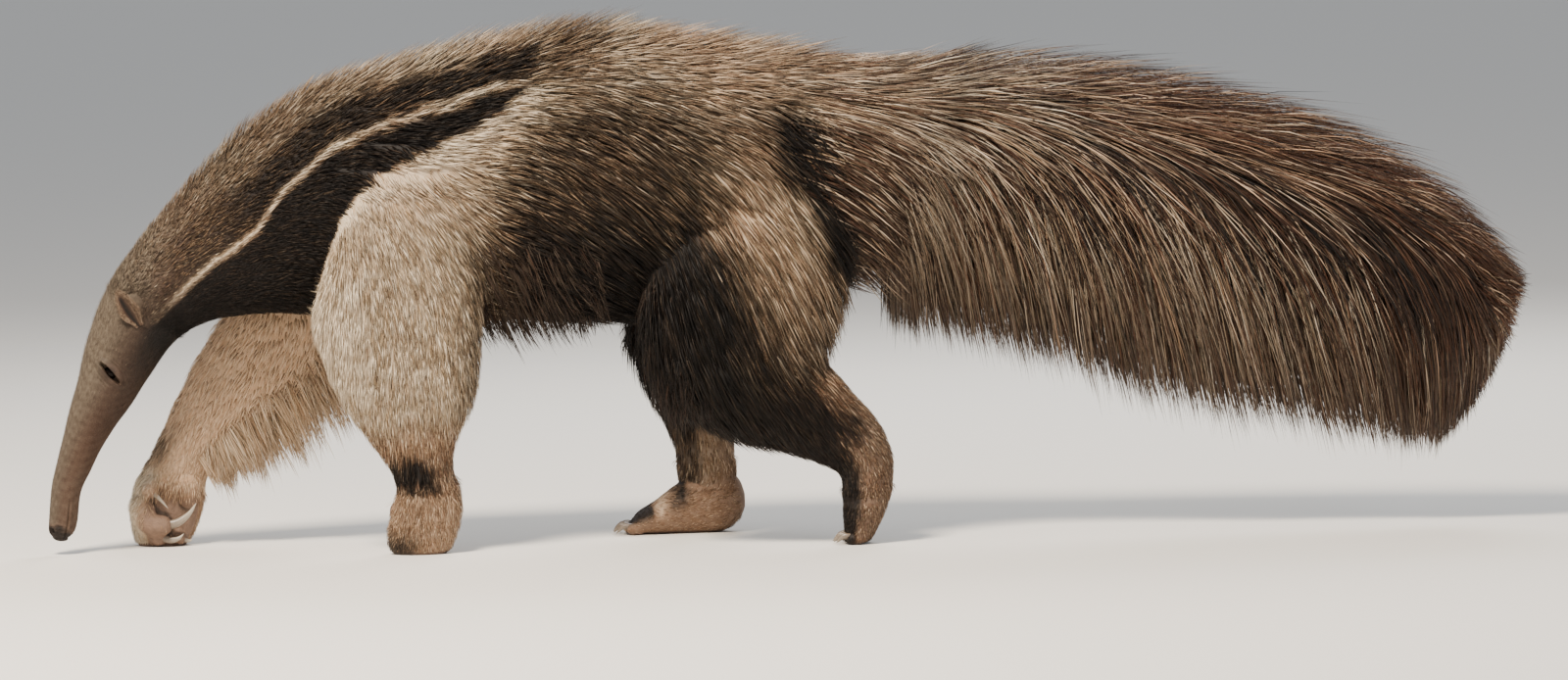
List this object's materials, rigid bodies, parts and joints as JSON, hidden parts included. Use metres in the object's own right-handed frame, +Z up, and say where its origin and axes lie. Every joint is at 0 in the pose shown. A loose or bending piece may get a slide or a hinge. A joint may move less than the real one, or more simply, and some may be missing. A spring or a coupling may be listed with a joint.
{
  "type": "giant anteater model",
  "caption": "Life-size still giant anteater walking with lowered head: long tapered snout, crested back, fringed legs, clawed feet and a deep plumed tail.",
  "frame": {"origin": "middle of the animal's box, on the ground under its feet", "axes": "the animal faces -X, +Z is up, its left side is at -Y"},
  "size_m": [1.8908, 0.336, 0.6776],
  "materials": {
    "coat_head": "short grizzled grey-brown hair",
    "coat_body": "coarse grizzled brown hair with a pale-edged black shoulder wedge",
    "coat_pale": "pale cream grizzled hair of the front legs",
    "coat_dark": "long blackish brown hair with cream streaks",
    "bare_skin": "wrinkled bare or thinly haired skin",
    "claw": "smooth horn",
    "eye": "wet dark eye"
  },
  "bodies": {
    "root": {"head": "coat_head", "ear_left": "coat_head", "ear_right": "coat_head", "eye_left": "eye", "eye_right": "eye", "neck": "coat_body", "torso": "coat_body", "tail": "coat_dark", "fore_left_upper": "coat_pale", "fore_left_lower": "coat_pale", "fore_left_paw": "coat_pale", "fore_right_upper": "coat_pale", "fore_right_lower": "coat_pale", "fore_right_paw": "bare_skin", "hind_left_thigh": "coat_dark", "hind_left_shank": "coat_dark", "hind_left_foot": "bare_skin", "hind_right_thigh": "coat_dark", "hind_right_shank": "coat_dark", "hind_right_foot": "bare_skin", "claw_fore_left_1": "claw", "claw_fore_left_2": "claw", "claw_fore_left_3": "claw", "claw_fore_left_4": "claw", "claw_fore_right_1": "claw", "claw_fore_right_2": "claw", "claw_fore_right_3": "claw", "claw_fore_right_4": "claw", "claw_hind_left_1": "claw", "claw_hind_left_2": "claw", "claw_hind_left_3": "claw", "claw_hind_left_4": "claw", "claw_hind_left_5": "claw", "claw_hind_right_1": "claw", "claw_hind_right_2": "claw", "claw_hind_right_3": "claw", "claw_hind_right_4": "claw", "claw_hind_right_5": "claw"}
  },
  "joints": []
}
